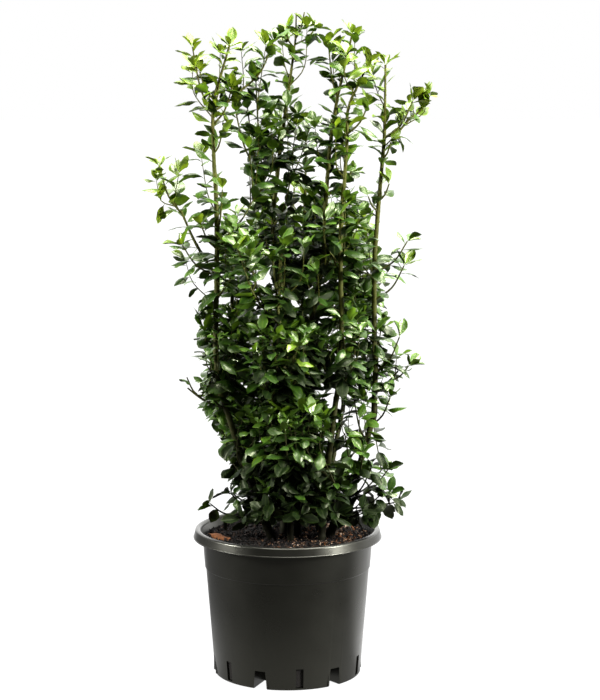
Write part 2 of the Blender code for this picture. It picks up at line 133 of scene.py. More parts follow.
SLOT_DEPTH = 0.008
CUT_OVERRUN = 0.020

# Soil
SOIL_TOP = 0.205
SOIL_GAP = 0.0006
CHIP_COUNT = 8000
CHIP_LENGTHS = (0.0015, 0.0090)
CHIP_WEIGHTS = (18, 5, 2.4, 0.7, 1.3)
SOIL_COLOURS = {
    "dark": (0.003, 0.002, 0.001),
    "brown": (0.020, 0.010, 0.005),
    "tan": (0.150, 0.080, 0.040),
    "orange": (0.130, 0.045, 0.012),
    "pale": (0.380, 0.270, 0.190),
}
SOIL_FINISH = (0.90, 0.30, (1.0, 1.0, 1.0, 1.0), 240.0, 900.0, 0.5, 0.0005)
DRY_LEAF_FOOT = (-0.119, -0.016, 0.212)
DRY_LEAF_TIP = (-0.083, -0.036, 0.215)

# Leaves: lengths at some heights, then shares of the length
LEAF_LENGTHS = ((0.25, 0.70, 0.90, 0.97), (0.037, 0.038, 0.038, 0.035))
LEAF_WIDTH = 0.44
LEAF_THICKNESS = 0.010
PETIOLE = 0.13
# The blade's outline is WIDEST * share ** FOOT_POWER * (1 - share) ** TIP_POWER
FOOT_POWER = 1.05
TIP_POWER = 0.92
FULL_ROWS = 7
PLAIN_ROWS = 6
# Places across the blade, in shares of its half width; beyond EDGE it is pale, as the midrib is: partly holly's own
# yellowish margin and partly a painted highlight along the rim
FULL_COLUMNS = (-1.0, -0.88, -0.50, -0.06, 0.06, 0.50, 0.88, 1.0)
PLAIN_COLUMNS = (-1.0, -0.09, 0.09, 1.0)
EDGE = 0.85
TEETH = 0.035
WAVE = 0.16

# Shoots
LEAF_SPACING = 0.0110
STEM_LEAF_SPACING = 0.0088
SHOOT_SPACING = 0.0225
FILLED = 0.88
FANNING = 0.72
TIP_ROOM = 0.008
LONGEST_TWIG = 0.15
TWIG_RADII = (0.0011, 0.0005)
TWIG_SIDES = 5
# Side shoots on the stems, in the heart of the crown: heights, spacing, reach and rise
CORE_HEIGHTS = (0.222, 0.62)
CORE_SPACING = 0.019
CORE_REACH = (0.030, 0.050)
CORE_RISE = 0.040
CORE_OUTWARD = 0.80
TURN = math.radians(137.5)
# A leaf's angle off its shoot, in degrees: at the shoot's foot, at its tip and how much that varies
LEAN = (52.0, 32.0, 9.0)
# Low down the leaves lie level, higher up they stand as they leave the shoot
LEVEL_HEIGHTS = (0.52, 0.76)
LEVEL_RISE = (0.10, 0.24)
# How much more than that they hang at the foot of the crown, and up to what height
DROOP = 0.45
DROOP_HEIGHTS = (0.24, 0.33)
LEAF_ROLL = 0.28
END_MARGIN = 0.015
BARE_BELOW = 0.40
# How far a leaf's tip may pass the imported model's box
SPILL = (0.010, 0.010, 0.002)

# Bark: its relief in shares of the radius, and its colours up to each height and above the last.
# Greener higher up, as younger bark is; darker low down, partly as older bark and partly as painted shade of the
# crown; the lowest, near black, is painted shade at the stems' foot.
BARK_STEP = 0.0025
BARK_SIDES = 14
BARK_RIDGES = 0.09
BARK_GRAIN = 0.07
BARK_SCARS = 0.24
SCAR_SPACING = 0.0140
SCAR_LENGTH = 0.09
BARK_HEIGHTS = (0.30, 0.42, 0.54, 0.66, 0.80)
BARK_COLOURS_AND_PAINTED_SHADE = (
    (0.004, 0.004, 0.002),
    (0.016, 0.017, 0.004),
    (0.026, 0.028, 0.005),
    (0.034, 0.037, 0.005),
    (0.044, 0.048, 0.006),
    (0.054, 0.056, 0.008),
)
BARK_FINISH = (0.62, 0.16, (1.0, 1.0, 0.70, 1.0), 160.0, 320.0, 0.5, 0.0006)

# How thick the masses are with twigs, where that isn't by height alone
FULLNESS = {
    "foliage_left_upper": 0.12,
    "foliage_left_top": 0.18,
    "foliage_left_outer": 0.28,
    "foliage_left_middle": 0.80,
    "foliage_left_low": 0.35,
    "foliage_left_shoulder": 0.62,
    "foliage_inner_right_shoulder": 0.90,
    "foliage_left_spur": 0.15,
    "foliage_left_foot": 0.60,
    "foliage_right_upper": 0.15,
    "foliage_right_top": 0.15,
    "foliage_right_tip": 0.12,
    "foliage_right_shoulder": 0.35,
    "foliage_right_middle": 0.36,
    "foliage_right_spur": 0.20,
    "foliage_right_low": 0.50,
    "foliage_right_foot": 0.90,
    "foliage_centre_top": 0.15,
    "foliage_inner_right_top": 0.28,
    "foliage_inner_left_top": 0.15,
    "foliage_inner_left_upper": 0.80,
    "foliage_centre_upper": 0.50,
    "foliage_inner_right_upper": 0.45,
    "foliage_front_right": 0.65,
    "foliage_front_foot": 2.00,
    "foliage_front_low": 1.25,
    "foliage_back_foot": 1.20,
}

# Windows in the crown that show sky, and the last one soil: middle and half sizes, x and z, seen from
# the camera on the plane y = 0
SKY_GAPS = (
    (-0.080, 0.763, 0.020, 0.017),
    (-0.073, 0.725, 0.011, 0.018),
    (0.036, 0.868, 0.012, 0.028),
    (0.109, 0.766, 0.012, 0.015),
    (0.123, 0.731, 0.006, 0.013),
    (0.172, 0.719, 0.016, 0.061),
    (0.168, 0.558, 0.018, 0.030),
    (-0.163, 0.506, 0.021, 0.060),
    (-0.128, 0.322, 0.026, 0.058),
    (-0.150, 0.452, 0.030, 0.010),
    (0.196, 0.505, 0.022, 0.018),
    (0.066, 0.410, 0.005, 0.016),
    (0.087, 0.392, 0.006, 0.006),
    (0.100, 0.374, 0.010, 0.007),
    (0.147, 0.374, 0.010, 0.010),
    (0.074, 0.327, 0.011, 0.010),
    (-0.095, 0.284, 0.009, 0.010),
    (-0.095, 0.306, 0.008, 0.010),
    (-0.139, 0.419, 0.010, 0.009),
    (0.166, 0.440, 0.008, 0.010),
    (0.166, 0.487, 0.007, 0.009),
    (0.190, 0.808, 0.014, 0.010),
    (0.124, 0.329, 0.009, 0.009),
    (-0.117, 0.576, 0.009, 0.010),
    (-0.008, 0.708, 0.008, 0.010),
    (0.014, 0.698, 0.006, 0.010),
    (0.015, 0.620, 0.005, 0.008),
    (0.166, 0.856, 0.009, 0.010),
    (0.112, 0.280, 0.006, 0.008),
    (0.098, 0.243, 0.010, 0.004),
    (0.142, 0.655, 0.008, 0.030),
    (-0.084, 0.555, 0.004, 0.014),
    (0.007, 0.555, 0.008, 0.008),
    (-0.031, 0.592, 0.008, 0.016),
    (-0.057, 0.280, 0.005, 0.008),
    (-0.042, 0.298, 0.004, 0.007),
    (0.012, 0.196, 0.135, 0.024),
)

# Stretches where nothing hides a stem: the heights between, seen as above
BARE_STRETCHES = {
    "stem_left": ((0.650, 0.668), (0.732, 0.905), (0.335, 0.520)),
    "stem_centre": ((0.740, 0.772), (0.788, 0.925), (0.640, 0.710)),
    "stem_inner_right": ((0.555, 0.785), (0.800, 0.890)),
    "stem_front_right": ((0.494, 0.640), (0.290, 0.425), (0.700, 0.760)),
    "stem_right": ((0.350, 0.420), (0.470, 0.560), (0.650, 0.730), (0.800, 0.890)),
}
GAP_BESIDE = 0.010
BARE_REACH = 0.006
BARE_CHANCE = 0.75

# Shoots that the photograph shows: the limb each leaves, the height it leaves at and its tip
FORKS = {
    "left_top_outer": ("stem_left", 0.832, (-0.134, -0.053, 0.925)),
    "left_top_inner": ("stem_left", 0.850, (-0.124, -0.047, 0.890)),
    "left_top_right": ("bough_inner_left_top", 0.885, (-0.019, -0.024, 0.934)),
    "left_leafy": ("stem_left", 0.775, (-0.093, -0.060, 0.800)),
    "left_top_middle": ("stem_left", 0.815, (-0.078, -0.050, 0.868)),
    "inner_left_back": ("bough_inner_left_upper", 0.790, (-0.058, -0.004, 0.842)),
    "left_yellow": ("stem_left", 0.660, (-0.092, -0.066, 0.724)),
    "left_twig_outer": ("stem_left", 0.637, (-0.122, -0.066, 0.672)),
    "left_twig_inner": ("stem_left", 0.640, (-0.080, -0.064, 0.669)),
    "inner_left": ("bough_inner_left_upper", 0.762, (-0.045, -0.014, 0.878)),
    "inner_left_twig": ("bough_inner_left_upper", 0.800, (-0.081, -0.016, 0.868)),
    "inner_left_low": ("stem_left", 0.655, (-0.049, -0.022, 0.706)),
    "left_outer": ("bough_left_outer", 0.687, (-0.184, -0.040, 0.757)),
    "left_shoulder": ("stem_left", 0.598, (-0.149, -0.068, 0.644)),
    "front_light": ("stem_front", 0.535, (-0.069, -0.112, 0.644)),
    "centre_fork_left": ("stem_centre", 0.935, (0.013, 0.043, 0.975)),
    "centre_fork_right": ("stem_centre", 0.939, (0.025, 0.040, 0.976)),
    "centre_top_left": ("stem_centre", 0.925, (-0.003, 0.040, 0.950)),
    "centre_top_right": ("stem_centre", 0.930, (0.041, 0.040, 0.953)),
    "centre_side": ("stem_centre", 0.665, (0.004, 0.008, 0.730)),
    "inner_right_left": ("stem_inner_right", 0.855, (0.059, -0.028, 0.930)),
    "front_right_side": ("stem_front_right", 0.800, (0.116, -0.055, 0.846)),
    "right_tip_inner": ("stem_right", 0.793, (0.180, -0.030, 0.848)),
    "right_tip_outer": ("bough_right_tip", 0.822, (0.205, -0.016, 0.855)),
    "right_shoulder_low": ("stem_right", 0.561, (0.169, -0.036, 0.612)),
    "right_shoulder_high": ("stem_right", 0.602, (0.174, -0.028, 0.647)),
    "right_middle": ("stem_right", 0.455, (0.163, -0.036, 0.508)),
    "right_spur": ("bough_right_spur", 0.440, (0.177, -0.026, 0.464)),
    "right_foot_low": ("stem_right", 0.250, (0.160, -0.028, 0.262)),
    "right_foot_high": ("stem_right", 0.258, (0.148, -0.034, 0.312)),
    "right_foot_inner": ("stem_right", 0.262, (0.122, -0.055, 0.318)),
    "right_foot_middle": ("stem_right", 0.240, (0.135, -0.050, 0.276)),
    "right_foot_front": ("stem_right", 0.232, (0.108, -0.060, 0.256)),
    "right_foot_back": ("stem_right", 0.262, (0.140, 0.020, 0.300)),
    "right_inner_middle": ("stem_right", 0.285, (0.110, -0.082, 0.346)),
    "right_inner_high": ("stem_right", 0.320, (0.104, -0.070, 0.392)),
    "right_inner_back": ("stem_right", 0.350, (0.098, -0.020, 0.414)),
    "right_outer_middle": ("stem_right", 0.375, (0.150, -0.040, 0.420)),
    "right_leafy_high": ("stem_right", 0.765, (0.149, -0.030, 0.790)),
    "right_leafy_middle": ("stem_right", 0.705, (0.147, -0.030, 0.730)),
    "right_leafy_low": ("stem_right", 0.690, (0.117, -0.030, 0.712)),
    "inner_right_side": ("stem_inner_right", 0.715, (0.092, -0.030, 0.746)),
    "left_spur": ("bough_left_spur", 0.418, (-0.146, -0.042, 0.450)),
    "left_spur_inner": ("stem_left", 0.400, (-0.118, -0.060, 0.444)),
    "left_foot": ("bough_left_foot", 0.250, (-0.113, -0.040, 0.262)),
    "left_foot_inner": ("stem_left", 0.250, (-0.082, -0.062, 0.282)),
    "left_foot_front": ("stem_left", 0.232, (-0.066, -0.080, 0.248)),
    "left_foot_back": ("stem_back_left", 0.240, (-0.086, 0.036, 0.264)),
    "front_foot_left": ("stem_front", 0.238, (-0.032, -0.096, 0.262)),
    "front_foot_right": ("stem_front", 0.236, (0.020, -0.098, 0.256)),
    "front_foot_outer": ("stem_front_right", 0.236, (0.070, -0.088, 0.258)),
    "front_middle": ("stem_front", 0.440, (0.010, -0.125, 0.500)),
    "front_left": ("stem_front", 0.400, (-0.038, -0.120, 0.478)),
    "front_right_low": ("stem_front_right", 0.245, (0.068, -0.105, 0.306)),
    "right_inner_low": ("stem_right", 0.300, (0.083, -0.080, 0.374)),
}
BARE_TIPPED = ("centre_fork_left", "centre_fork_right")

# Leaf tones from the shaded heart of the crown to its youngest tips: upper side, underside, midrib.
# The darkest tone is painted shade: near-black leaves put where the crown shades its heart and foot.
TONES = {
    # The undersides are paler, as holly's are, and lighter still as painted light in place of light that shines
    # through the leaf
    "painted_shade": ((0.003, 0.008, 0.001), (0.008, 0.016, 0.001), (0.012, 0.022, 0.003)),
    "dark": ((0.011, 0.033, 0.002), (0.028, 0.062, 0.003), (0.032, 0.064, 0.006)),
    "mid": ((0.025, 0.063, 0.003), (0.060, 0.115, 0.003), (0.062, 0.110, 0.010)),
    "fresh": ((0.056, 0.100, 0.004), (0.120, 0.180, 0.005), (0.115, 0.165, 0.016)),
    "young": ((0.088, 0.135, 0.006), (0.145, 0.200, 0.007), (0.140, 0.185, 0.020)),
}
# Roughness, gloss and its tint, scale of the mottling, then scale, strength and height of the relief
LEAF_FINISH = (0.34, 0.72, (0.94, 1.0, 0.66, 1.0), 55.0, 320.0, 0.50, 0.0006)
# The painted-shade tone also takes less gloss, as part of its painted shade
PAINTED_SHADE_FINISH = (0.42, 0.20, (0.94, 1.0, 0.66, 1.0), 55.0, 320.0, 0.50, 0.0006)
UNDERSIDE_FINISH = (0.50, 0.30, (0.94, 1.0, 0.66, 1.0), 55.0, 420.0, 0.35, 0.0004)
# A spray's tone, counted in TONES, at some heights, and how much it rises outward and to a tip.
# Low down and in the heart the tone is painted shade, and on the outer face it is painted light; high up it is
# lighter, partly as painted light and partly as younger leaves.
# FRONT_SHADE counts leaves at the front as further in, which gives them more painted shade; towards a tip leaves
# are younger and paler.
TONE_LEVELS = (
    (0.22, 0.27, 0.32, 0.40, 0.48, 0.58, 0.66, 0.76, 0.86, 0.95),
    (-0.5, 0.0, 1.1, 1.60, 1.20, 1.60, 1.75, 2.15, 2.8, 3.2),
)
TONE_OUTWARD = 2.0
OUTERMOST = 0.95
FRONT_SHADE = 0.6
TONE_TO_TIP = 0.4
TONE_VARIATION = 0.45


def new_collection(name):
    made = bpy.data.collections.new(name)
    bpy.context.scene.collection.children.link(made)
    return made


def surface_material(name, colour, roughness, **extra):
    """A Principled material with one base colour."""
    made = bpy.data.materials.new(name)
    made.use_nodes = True
    surface = made.node_tree.nodes["Principled BSDF"]
    surface.inputs["Base Color"].default_value = (*colour, 1.0)
    surface.inputs["Roughness"].default_value = roughness
    for socket, value in extra.items():
        surface.inputs[socket.replace("_", " ")].default_value = value
    return made


def bumped(material, scale, strength, distance):
    """Adds a noise relief to a material."""
    tree = material.node_tree
    place = tree.nodes.new("ShaderNodeTexCoord")
    grain = tree.nodes.new("ShaderNodeTexNoise")
    relief = tree.nodes.new("ShaderNodeBump")
    grain.inputs["Scale"].default_value = scale
    grain.inputs["Detail"].default_value = 4.0
    relief.inputs["Strength"].default_value = strength
    relief.inputs["Distance"].default_value = distance
    tree.links.new(place.outputs["Object"], grain.inputs["Vector"])
    tree.links.new(grain.outputs["Fac"], relief.inputs["Height"])
    tree.links.new(relief.outputs["Normal"], tree.nodes["Principled BSDF"].inputs["Normal"])
    return material


class Pile:
    """Many small meshes that become one object, or several when they hold too many triangles."""

    def __init__(self, name, materials, nodes, slot, collection):
        self.name = name
        self.materials = materials
        self.nodes = nodes
        self.slot = slot
        self.collection = collection
        self.number = 0
        self.clear()

    def clear(self):
        self.points = []
        self.faces = []
        self.kinds = []
        self.count = 0
        self.triangles = 0

    def add(self, points, faces, kinds):
        if self.triangles + len(faces) > MOST_TRIANGLES:
            self.made()
        self.points.append(points)
        self.faces.append(faces + self.count)
        self.kinds.append(kinds)
        self.count += len(points)
        self.triangles += len(faces)

    def made(self):
        """One object from all that was added since the last."""
        self.number += 1
        name = f"{self.name}_{self.number}"
        mesh = bpy.data.meshes.new(name)
        points = np.concatenate(self.points)
        faces = np.concatenate(self.faces)
        mesh.vertices.add(len(points))
        mesh.vertices.foreach_set("co", points.astype(np.float32).ravel())
        mesh.loops.add(faces.size)
        mesh.loops.foreach_set("vertex_index", faces.astype(np.int32).ravel())
        mesh.polygons.add(len(faces))
        mesh.polygons.foreach_set("loop_start", np.arange(0, faces.size, 3, dtype=np.int32))
        mesh.polygons.foreach_set("loop_total", np.full(len(faces), 3, np.int32))
        for material in self.materials:
            mesh.materials.append(material)
        mesh.polygons.foreach_set("material_index", np.concatenate(self.kinds).astype(np.int32))
        mesh.update(calc_edges=True)
        mesh.shade_smooth()
        mesh.set_sharp_from_angle(angle=math.radians(70))
        made = bpy.data.objects.new(name, mesh)
        self.collection.objects.link(made)
        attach(made, "root")
        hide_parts(*self.nodes)
        self.clear()
        return made


def seen(point):
    """Where the line from the camera through a point crosses the plane y = 0, as x and z."""
    share = -CAMERA_PLACE[1] / (point[1] - CAMERA_PLACE[1])
    return [CAMERA_PLACE[axis] + (point[axis] - CAMERA_PLACE[axis]) * share for axis in (0, 2)]


def in_sky_gap(point):
    """Whether a point lies in one of the windows of sky that the photograph shows."""
    x, z = seen(point)
    return any(math.hypot((x - gap[0]) / gap[2], (z - gap[1]) / gap[3]) < 1 for gap in SKY_GAPS)


def blade_width(share):
    """Half the width of a leaf of unit length at a share of its blade."""
    widest = FOOT_POWER / (FOOT_POWER + TIP_POWER)
    full = widest**FOOT_POWER * (1 - widest) ** TIP_POWER
    return 0.5 * LEAF_WIDTH * share**FOOT_POWER * (1 - share) ** TIP_POWER / full


def leaf_shape(arch, cup, twist, wave, rows, columns):
    """A leaf of unit length along +X, upper side up, whose midrib is an arc of a given angle.

    Gives points, triangles and each triangle's side: 0 upper, 1 lower, 2 midrib and pale edge.
    """
    sections = []
    for i in range(1, rows):
        t = i / rows
        half = 0.020 + blade_width(max(0.0, (t - PETIOLE) / (1 - PETIOLE)))
        along = Vector((math.sin(arch * t) / arch, 0.0, (math.cos(arch * t) - 1) / arch))
        up = Vector((math.sin(arch * t), 0.0, math.cos(arch * t)))
        turn = Matrix.Rotation(twist * t, 3, Vector((up.z, 0.0, -up.x)))
        section = []
        for share in columns:
            margin = abs(share) == 1.0
            reach = half * share * (1 + TEETH * (1 - 2 * (i % 2)) if margin else 1.0)
            drop = cup * half * share * share + (0.010 if abs(share) < 0.1 else 0.0)
            drop += wave * half * share * share * math.sin(9 * t + 2 * share)
            section.append(along + turn @ (Vector((0.0, reach, 0.0)) - up * drop))
        sections.append((section, turn @ up))
    tip = Vector((math.sin(arch) / arch, 0.0, (math.cos(arch) - 1) / arch)) * 1.02
    points = [point for section, _ in sections for point in section]
    wide = len(columns)
    middle = wide // 2
    blade = [j for j, share in enumerate(columns) if 0.1 < abs(share) < EDGE]
    for section, up in sections:
        sink = up * LEAF_THICKNESS
        inner = [section[j] - sink for j in blade]
        inner.insert(len(blade) // 2, (section[middle - 1] + section[middle]) / 2 - sink * 2)
        points += inner
    points += [Vector((0.0, 0.0, 0.0)), tip]
    count = len(sections)
    first_lower = count * wide
    base_index = first_lower + (len(blade) + 1) * count
    tip_index = base_index + 1
    upper = np.arange(count * wide).reshape(count, wide)
    inside = np.arange(first_lower, base_index).reshape(count, len(blade) + 1)
    lower = np.concatenate([upper[:, :1], inside, upper[:, -1:]], axis=1)
    faces, kinds = [], []
    for sheet, below in ((upper, False), (lower, True)):
        for j in range(sheet.shape[1] - 1):
            kind = 1 if below else (2 if columns[j] * columns[j + 1] < 0 or j in (0, wide - 2) and blade else 0)
            side = []
            for i in range(count - 1):
                a, b, c, d = sheet[i, j], sheet[i + 1, j], sheet[i + 1, j + 1], sheet[i, j + 1]
                side += [(a, b, c), (a, c, d)]
            side.append((base_index, sheet[0, j], sheet[0, j + 1]))
            side.append((sheet[-1, j], tip_index, sheet[-1, j + 1]))
            faces += [face[::-1] if below else face for face in side]
            kinds += [kind] * len(side)
    return np.array([tuple(point) for point in points]), np.array(faces), np.array(kinds)


def leaf_shapes(arches, cups, rows, columns):
    """Leaves of every arch with each cup, some turned one way and some the other."""
    shapes = []
    for i, arch in enumerate(arches):
        for j, cup in enumerate(cups):
            twist = 0.16 if (i + j) % 2 else -0.14
            shapes.append(leaf_shape(math.radians(arch), cup, twist, WAVE, rows, columns))
    return shapes


def bark_relief(start, along, angle):
    """How far bark stands out at a place along and round a limb, as a share of its radius."""
    turn = start + Vector((2 * math.cos(angle), 2 * math.sin(angle), 0.0))
    ridges = noise.noise(turn + Vector((0, 0, 40 * along)))
    grain = noise.noise(2 * turn + Vector((0, 0, 300 * along)))
    scars = along / SCAR_SPACING
    facing = 0.6 + 0.4 * math.cos(angle - TURN * math.floor(scars))
    scar = math.exp(-(((scars % 1.0 - 0.5) / SCAR_LENGTH) ** 2))
    return 1 + BARK_RIDGES * ridges + BARK_GRAIN * grain + BARK_SCARS * scar * facing


def tube(path, radii, sides, bark=False):
    """Points and triangles of a round limb along a path, smooth or with the bark's relief."""
    rings = []
    side = Vector((1.0, 0.0, 0.0))
    along = 0.0
    for i, point in enumerate(path):
        along += (point - path[max(i - 1, 0)]).length
        ahead = (path[min(i + 1, len(path) - 1)] - path[max(i - 1, 0)]).normalized()
        side = (side - ahead * side.dot(ahead)).normalized()
        other = ahead.cross(side)
        for k in range(sides):
            angle = 2 * math.pi * k / sides
            out = math.cos(angle) * side + math.sin(angle) * other
            relief = bark_relief(path[0] * 99, along, angle) if bark else 1.0
            rings.append(point + out * radii[i] * relief)
    points = np.array([tuple(point) for point in rings] + [tuple(path[0]), tuple(path[-1])])
    count = len(path)
    faces = []
    for i in range(count - 1):
        for k in range(sides):
            a = i * sides + k
            b = i * sides + (k + 1) % sides
            faces += [(a, b, b + sides), (a, b + sides, a + sides)]
    for k in range(sides):
        following = (k + 1) % sides
        faces.append((count * sides, following, k))
        last = (count - 1) * sides
        faces.append((count * sides + 1, last + k, last + following))
    return points, np.array(faces)


def smooth_path(points, step):
    """Points about a step apart along a Catmull-Rom curve through the given points."""
    points = [Vector(point) for point in points]
    before = [2 * points[0] - points[1]] + points
    after = points + [2 * points[-1] - points[-2]]
    path = []
    for i in range(len(points) - 1):
        a, b, c, d = before[i], points[i], points[i + 1], after[i + 2]
        pieces = max(1, round((c - b).length / step))
        for j in range(pieces):
            t = j / pieces
            linear = t * (c - a)
            square = t * t * (2 * a - 5 * b + 4 * c - d)
            cube = t * t * t * (3 * b - 3 * c + d - a)
            path.append(b + 0.5 * (linear + square + cube))
    return path + [points[-1]]


def rising_path(start, tip, step, wobble=Vector()):
    """A shoot's path, which leaves sideways and turns up to its tip."""
    way = tip - start
    bend = start + Vector((0.60 * way.x, 0.60 * way.y, 0.38 * way.z)) + wobble
    return smooth_path((start, bend, tip), step)


def centre_line(node):
    """A limb's centre points and radii, from cuts across its mesh."""
    mesh = node.data
    points = np.empty(len(mesh.vertices) * 3)
    mesh.vertices.foreach_get("co", points)
    points = points.reshape(-1, 3)
    edges = np.empty(len(mesh.edges) * 2, np.int64)
    mesh.edges.foreach_get("vertices", edges)
    edges = edges.reshape(-1, 2)
    middle = points.mean(axis=0)
    _, _, axes = np.linalg.svd(points - middle, full_matrices=False)
    axis = axes[0] if axes[0][2] > 0 else -axes[0]
    along = (points - middle) @ axis
    first, last = along[edges[:, 0]], along[edges[:, 1]]
    low, high = along.min(), along.max()
    steps = max(4, round((high - low) / 0.02))
    margin = END_MARGIN * (high - low)
    centres, radii = [], []
    for level in np.linspace(low + margin, high - margin, steps):
        crossing = (first - level) * (last - level) < 0
        share = (level - first[crossing]) / (last[crossing] - first[crossing])
        cuts = points[edges[crossing, 0]] * (1 - share[:, None]) + points[edges[crossing, 1]] * share[:, None]
        centre = cuts.mean(axis=0)
        centres.append(Vector(centre))
        radii.append(float(np.linalg.norm(cuts - centre, axis=1).mean()))
    centres.insert(0, centres[0] + (centres[0] - centres[1]).normalized() * margin)
    centres.append(centres[-1] + (centres[-1] - centres[-2]).normalized() * margin)
    return centres, radii[:1] + radii + radii[-1:]


class Mass:
    """A mass of foliage in the frame: where its middle is and how far it reaches each way."""

    def __init__(self, node):
        self.name = node.name
        points = [vertex.co.copy() for vertex in node.data.vertices]
        low = Vector([min(point[axis] for point in points) for axis in range(3)])
        high = Vector([max(point[axis] for point in points) for axis in range(3)])
        self.middle = (low + high) / 2
        self.half = (high - low) / 2
        faces = [tuple(face.vertices) for face in node.data.polygons]
        self.tree = BVHTree.FromPolygons(points, faces)

    def reach(self, direction):
        """From the middle to the outer face in a direction."""
        far = self.middle + direction * 0.5
        hit, _, _, distance = self.tree.ray_cast(far, -direction)
        return 0.5 - distance if hit else 0.0

    def holds(self, point, share=1.0):
        way = point - self.middle
        return way.length < share * self.reach(way.normalized())


def leaf_length(height):
    return float(np.interp(height, *LEAF_LENGTHS))


class BareStem:
    """The stretches of a stem, as the camera sees them, that no leaf hides."""

    def __init__(self, path, stretches):
        places = [seen(point) for point in path]
        self.heights = [z for _, z in places]
        self.sides = [x for x, _ in places]
        self.depths = [point.y for point in path]
        self.stretches = stretches

    def hidden_by(self, point):
        x, z = seen(point)
        if not any(low < z < high for low, high in self.stretches):
            return False
        across = abs(x - float(np.interp(z, self.heights, self.sides)))
        return across < BARE_REACH and point.y < float(np.interp(z, self.heights, self.depths))


class Shrub:
    """Grows the twigs and deals out the leaves."""

    def __init__(self, box, piles, woods, bare_stems):
        self.low = Vector(box[0]) - Vector(SPILL)
        self.high = Vector(box[1]) + Vector(SPILL)
        self.piles = piles
        self.woods = woods
        self.bare_stems = bare_stems
        self.rng = random.Random(SEED)
        self.full = leaf_shapes((28, 46, 64, 86), (0.16, 0.36, 0.55, -0.30), FULL_ROWS, FULL_COLUMNS)
        self.plain = leaf_shapes((35, 68), (0.20, 0.45), PLAIN_ROWS, PLAIN_COLUMNS)
        self.young = leaf_shapes((10, 24, 38), (-0.40, 0.12), FULL_ROWS, FULL_COLUMNS)

    def wobble(self, amount):
        return Vector([self.rng.gauss(0, amount) for _ in range(3)])

    def outwardness(self, point):
        """From 0 on the crown's axis to about 1 at its outer face."""
        return min(1.2, math.hypot((point[0] - 0.012) / 0.150, point[1] / 0.115))

    def tone(self, point, spray, nearness):
        """Which of the leaf tones a leaf takes: darker low down and inside as painted shade, lighter on the outer
        face as painted light, and younger and paler at tips.
        """
        level = float(np.interp(point[2], *TONE_LEVELS)) + spray
        depth = point[1] if point[1] > 0 else FRONT_SHADE * point[1]
        outward = min(self.outwardness((point[0], depth)), OUTERMOST)
        level += TONE_OUTWARD * (outward - 0.75) + TONE_TO_TIP * nearness**2
        names = list(TONES)
        return names[min(max(int(level + self.rng.uniform(-0.35, 0.35)), 0), len(names) - 1)]

    def leaf(self, place, direction, normal, length, kind, shapes=None):
        """One leaf at a place, pointing along a direction with its upper side to a normal."""
        ahead = direction.normalized()
        up = (normal - ahead * normal.dot(ahead)).normalized()
        if shapes is None:
            shapes = self.full if self.outwardness(place) > 0.60 or place[2] > 0.70 else self.plain
        shape = self.rng.choice(shapes)
        middle = place + (ahead - up * 0.25) * (0.55 * length)
        tip = place + (ahead - up * 0.45) * (0.90 * length)
        outside = any(not low < at < high for low, at, high in zip(self.low, tip, self.high))
        hides = any(stem.hidden_by(middle) or stem.hidden_by(tip) for stem in self.bare_stems)
        sky = any(in_sky_gap(point) for point in (place, middle, tip))
        if outside or sky or (hides and self.rng.random() < BARE_CHANCE):
            return
        points, faces, kinds = shape
        turn = np.array((ahead, up.cross(ahead), up)) * length
        self.piles[kind].add(points @ turn + np.array(place), faces, kinds)

    def shoot(self, path, start, spacing):
        """Leaves in a spiral along a path, smaller and younger towards its tip."""
        rng = self.rng
        lengths = [0.0]
        for a, b in zip(path, path[1:]):
            lengths.append(lengths[-1] + (b - a).length)
        total = lengths[-1]
        along = start
        angle = rng.uniform(0, 2 * math.pi)
        spray = rng.gauss(0, TONE_VARIATION)
        while along < total:
            i = min(max(k for k, length in enumerate(lengths) if length <= along), len(path) - 2)
            share = (along - lengths[i]) / max(lengths[i + 1] - lengths[i], 1e-6)
            place = path[i].lerp(path[i + 1], share)
            ahead = (path[i + 1] - path[i]).normalized()
            side = ahead.orthogonal().normalized()
            out = math.cos(angle) * side + math.sin(angle) * ahead.cross(side)
            nearness = along / total
            lean = math.radians(rng.gauss(LEAN[0] + (LEAN[1] - LEAN[0]) * nearness**1.5, LEAN[2]))
            direction = math.cos(lean) * ahead + math.sin(lean) * out
            adaxial = math.sin(lean) * ahead - math.cos(lean) * out
            level = float(np.interp(place.z, LEVEL_HEIGHTS, (1.0, 0.0))) * (1.0 - 0.6 * nearness**3)
            rise = rng.gauss(*LEVEL_RISE) - DROOP * float(np.interp(place.z, DROOP_HEIGHTS, (1.0, 0.0)))
            flat = Vector((out.x, out.y, 0.0)).normalized() + Vector((0, 0, rise))
            direction = direction.lerp(flat, level) + self.wobble(0.07)
            normal = adaxial.lerp(Vector((0, 0, 1)), level) + self.wobble(LEAF_ROLL)
            length = leaf_length(place.z) * rng.uniform(0.85, 1.12) * (1.0 - 0.35 * nearness**3)
            self.leaf(place, direction, normal, length, self.tone(place, spray, nearness))
            along += spacing * rng.uniform(0.8, 1.25) * (1.0 - 0.35 * nearness)
            angle += TURN

    def tip(self, end, ahead):
        """The small upright leaves round a shoot's bud."""
        side = ahead.orthogonal().normalized()
        start = self.rng.uniform(0, 2 * math.pi)
        for i in range(self.rng.choice((3, 4, 4))):
            angle = start + TURN * i
            out = math.cos(angle) * side + math.sin(angle) * ahead.cross(side)
            lean = math.radians(self.rng.uniform(18, 56))
            direction = math.cos(lean) * ahead + math.sin(lean) * out
            length = leaf_length(end.z) * self.rng.uniform(0.50, 0.85)
            self.leaf(end, direction, ahead - out, length, self.tone(end, 0.5, 1.0), self.young)

    def wood(self, path, radius, tip_radius):
        radii = [radius + (tip_radius - radius) * i / (len(path) - 1) for i in range(len(path))]
        points, faces = tube(path, radii, TWIG_SIDES)
        self.woods["twig"].add(points, faces, np.digitize(points[faces[:, 0], 2], BARK_HEIGHTS))

